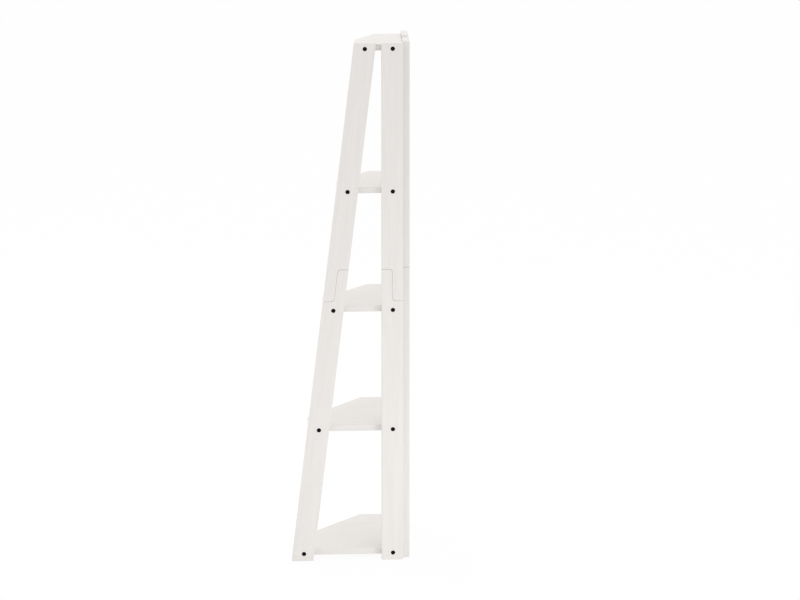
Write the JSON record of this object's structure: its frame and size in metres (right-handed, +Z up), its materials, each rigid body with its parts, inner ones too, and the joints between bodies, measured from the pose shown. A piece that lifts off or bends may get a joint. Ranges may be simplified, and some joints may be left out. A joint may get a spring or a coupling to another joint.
{
  "type": "corner ladder bookcase",
  "caption": "Tall white corner bookcase: ladder frames along two walls, raked in front, carry pentagonal shelves that shorten upwards, fixed with black bolts.",
  "frame": {"origin": "on the floor, under the middle of the footprint", "axes": "+Z up. The right frame's wall face looks along -Y and the left frame's along +X, so the room's corner is at +X, -Y and the open front looks towards -X, +Y"},
  "size_m": [0.4078, 0.4078, 1.829],
  "materials": {
    "white_paint": "satin white paint on wood",
    "black_steel": "black",
    "zinc_steel": "zinc plated",
    "beech": "bare"
  },
  "bodies": {
    "root": {"right_front_leg_lower": "white_paint", "right_front_leg_upper": "white_paint", "right_rear_leg_lower": "white_paint", "right_rear_leg_upper": "white_paint", "left_front_leg_lower": "white_paint", "left_front_leg_upper": "white_paint", "left_rear_leg_lower": "white_paint", "left_rear_leg_upper": "white_paint", "shelf_1_bottom": "white_paint", "shelf_2_lower": "white_paint", "shelf_3_middle": "white_paint", "shelf_4_upper": "white_paint", "shelf_5_top": "white_paint", "bolt_right_front_1": "black_steel", "bolt_right_front_2": "black_steel", "bolt_right_front_3": "black_steel", "bolt_right_front_4": "black_steel", "bolt_right_front_5": "black_steel", "bolt_right_rear_1": "black_steel", "bolt_right_rear_2": "black_steel", "bolt_right_rear_3": "black_steel", "bolt_right_rear_4": "black_steel", "bolt_right_rear_5": "black_steel", "bolt_left_front_1": "black_steel", "bolt_left_front_2": "black_steel", "bolt_left_front_3": "black_steel", "bolt_left_front_4": "black_steel", "bolt_left_front_5": "black_steel", "bolt_left_rear_1": "black_steel", "bolt_left_rear_2": "black_steel", "bolt_left_rear_3": "black_steel", "bolt_left_rear_4": "black_steel", "bolt_left_rear_5": "black_steel", "barrel_nut_right_front_1": "zinc_steel", "barrel_nut_right_front_2": "zinc_steel", "barrel_nut_right_front_3": "zinc_steel", "barrel_nut_right_front_4": "zinc_steel", "barrel_nut_right_front_5": "zinc_steel", "barrel_nut_right_rear_1": "zinc_steel", "barrel_nut_right_rear_2": "zinc_steel", "barrel_nut_right_rear_3": "zinc_steel", "barrel_nut_right_rear_4": "zinc_steel", "barrel_nut_right_rear_5": "zinc_steel", "barrel_nut_left_front_1": "zinc_steel", "barrel_nut_left_front_2": "zinc_steel", "barrel_nut_left_front_3": "zinc_steel", "barrel_nut_left_front_4": "zinc_steel", "barrel_nut_left_front_5": "zinc_steel", "barrel_nut_left_rear_1": "zinc_steel", "barrel_nut_left_rear_2": "zinc_steel", "barrel_nut_left_rear_3": "zinc_steel", "barrel_nut_left_rear_4": "zinc_steel", "barrel_nut_left_rear_5": "zinc_steel", "lap_dowel_right_front": "beech", "lap_dowel_right_rear": "beech", "lap_dowel_left_front": "beech", "lap_dowel_left_rear": "beech"}
  },
  "joints": []
}
